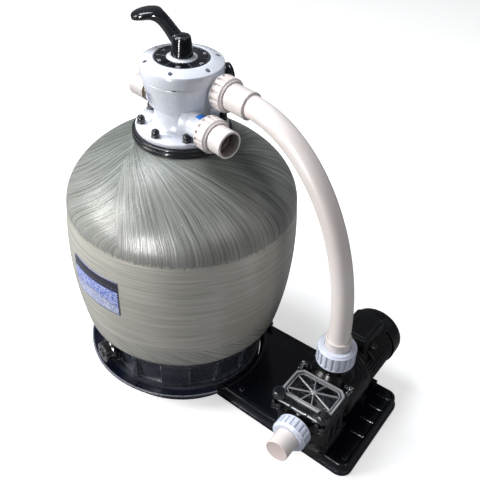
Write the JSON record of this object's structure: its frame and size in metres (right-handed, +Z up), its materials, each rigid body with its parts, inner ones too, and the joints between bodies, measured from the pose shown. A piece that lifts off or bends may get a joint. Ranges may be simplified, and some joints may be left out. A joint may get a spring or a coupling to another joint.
{
  "type": "sand filter tank",
  "caption": "Fibreglass sand filter tank on a moulded stand, with a top-mounted multiport valve, a flexible hose and a pool pump on a side plate.",
  "frame": {"origin": "on the floor, on the tank's vertical axis, at the middle of the stand's underside", "axes": "+Z up; +X from the tank along the side plate to the pump; +Y from the pump's suction end to its motor end"},
  "size_m": [0.8201, 0.5308, 0.8839],
  "materials": {
    "tank_fibreglass": "filament-wound fibreglass under a clear coat, semi-gloss",
    "black_plastic": "moulded black plastic, glossy",
    "white_plastic": "cool white ABS, semi-gloss",
    "pvc_cream": "warm white PVC, semi-gloss",
    "hose_pvc": "flexible warm white PVC, satin",
    "grey_plastic": "grey engineering plastic",
    "seal_rubber": "black rubber",
    "label_film": "printed film",
    "clear_plastic": "clear smoky plastic",
    "amber_clear": "tinted clear plastic",
    "stainless": "stainless steel",
    "motor_paint": "black paint, satin"
  },
  "bodies": {
    "root": {"tank_shell": "tank_fibreglass", "tank_stand": "black_plastic", "pump_base": "black_plastic", "neck_ring": "black_plastic", "data_label": "label_film", "drain_fitting": "black_plastic", "standpipe": "pvc_cream", "lateral_hub": "grey_plastic", "lateral_1": "grey_plastic", "lateral_2": "grey_plastic", "lateral_3": "grey_plastic", "lateral_4": "grey_plastic", "lateral_5": "grey_plastic", "lateral_6": "grey_plastic", "top_diffuser": "grey_plastic", "valve_body": "white_plastic", "valve_lid": "white_plastic", "index_plate": "black_plastic", "spider_gasket": "seal_rubber", "flange_bolt_1": "black_plastic", "flange_bolt_2": "black_plastic", "flange_bolt_3": "black_plastic", "flange_bolt_4": "black_plastic", "flange_bolt_5": "black_plastic", "flange_bolt_6": "black_plastic", "flange_bolt_7": "black_plastic", "flange_bolt_8": "black_plastic", "sight_glass": "amber_clear", "waste_tail": "pvc_cream", "inlet_tail": "pvc_cream", "return_tail": "pvc_cream", "gauge_case": "black_plastic", "gauge_lens": "clear_plastic", "hose": "hose_pvc", "pump_housing": "black_plastic", "lid_gasket": "seal_rubber", "strainer_basket": "grey_plastic", "seal_plate": "black_plastic", "motor_housing": "motor_paint", "fan_cover": "motor_paint", "terminal_box": "motor_paint", "suction_tail": "pvc_cream", "discharge_tail": "pvc_cream"},
    "spindle_carrier": {"rotor_spring": "stainless"},
    "diverter": {"rotor": "black_plastic", "handle_pin": "stainless"},
    "handle_lever": {"handle": "black_plastic"},
    "drain_plug": {"drain_cap": "black_plastic"},
    "inlet_union": {"inlet_nut": "pvc_cream"},
    "return_union": {"return_nut": "pvc_cream"},
    "suction_union": {"suction_nut": "white_plastic"},
    "discharge_union": {"discharge_nut": "white_plastic"},
    "gauge_pointer": {"gauge_needle": "seal_rubber"},
    "strainer_cover": {"strainer_lid": "clear_plastic"},
    "lid_knob_left": {"knob_left": "black_plastic"},
    "lid_knob_right": {"knob_right": "black_plastic"},
    "shipping_plug": {"suction_plug": "pvc_cream"},
    "motor_rotor": {"impeller": "grey_plastic", "motor_shaft": "stainless", "cooling_fan": "grey_plastic"}
  },
  "joints": [
    {"name": "selector_turn", "type": "hinge", "parent": "root", "child": "spindle_carrier", "pos_m": [0, 0, 0.8], "axis": [0, 0, 1], "continuous": true},
    {"name": "rotor_lift", "type": "slide", "parent": "spindle_carrier", "child": "diverter", "axis": [0, 0, 1], "range_m": [0, 0.005], "deforming": ["rotor_spring"]},
    {"name": "handle_press", "type": "hinge", "parent": "diverter", "child": "handle_lever", "pos_m": [0, 0, 0.83], "axis": [0, -1, 0], "range_deg": [0, 12]},
    {"name": "drain_cap_turn", "type": "hinge", "parent": "root", "child": "drain_plug", "pos_m": [-0.07162, -0.20801, 0.088], "axis": [-0.3256, -0.9455, 0], "continuous": true},
    {"name": "inlet_nut_turn", "type": "hinge", "parent": "root", "child": "inlet_union", "pos_m": [0.10909, 0.00688, 0.757], "axis": [0.9848, -0.1736, 0], "continuous": true},
    {"name": "return_nut_turn", "type": "hinge", "parent": "root", "child": "return_union", "pos_m": [0.11367, -0.04815, 0.692], "axis": [0.9781, -0.2079, 0], "continuous": true},
    {"name": "suction_nut_turn", "type": "hinge", "parent": "root", "child": "suction_union", "pos_m": [0.44, -0.183, 0.148], "axis": [0, -1, 0], "continuous": true},
    {"name": "discharge_nut_turn", "type": "hinge", "parent": "root", "child": "discharge_union", "pos_m": [0.44, -0.015, 0.258], "axis": [0, 0, 1], "continuous": true},
    {"name": "gauge_pointer_turn", "type": "hinge", "parent": "root", "child": "gauge_pointer", "pos_m": [0.0502, 0.08693, 0.75], "axis": [0.5, 0.866, 0], "range_deg": [0, 270]},
    {"name": "strainer_lid_hinge", "type": "hinge", "parent": "root", "child": "strainer_cover", "pos_m": [0.44, -0.044, 0.2035], "axis": [-1, 0, 0], "range_deg": [0, 65]},
    {"name": "knob_left_turn", "type": "hinge", "parent": "strainer_cover", "child": "lid_knob_left", "pos_m": [0.386, -0.154, 0.21], "axis": [0, 0, 1], "continuous": true},
    {"name": "knob_right_turn", "type": "hinge", "parent": "strainer_cover", "child": "lid_knob_right", "pos_m": [0.494, -0.154, 0.21], "axis": [0, 0, 1], "continuous": true},
    {"name": "suction_plug_pull", "type": "slide", "parent": "root", "child": "shipping_plug", "axis": [0, -1, 0], "range_m": [0, 0.03]},
    {"name": "motor_spin", "type": "hinge", "parent": "root", "child": "motor_rotor", "pos_m": [0.44, 0.1, 0.14], "axis": [0, 1, 0], "continuous": true}
  ],
  "couplings": [
    {"joint": "rotor_lift", "follows": "handle_press", "m_per_rad": 0.0238}
  ]
}
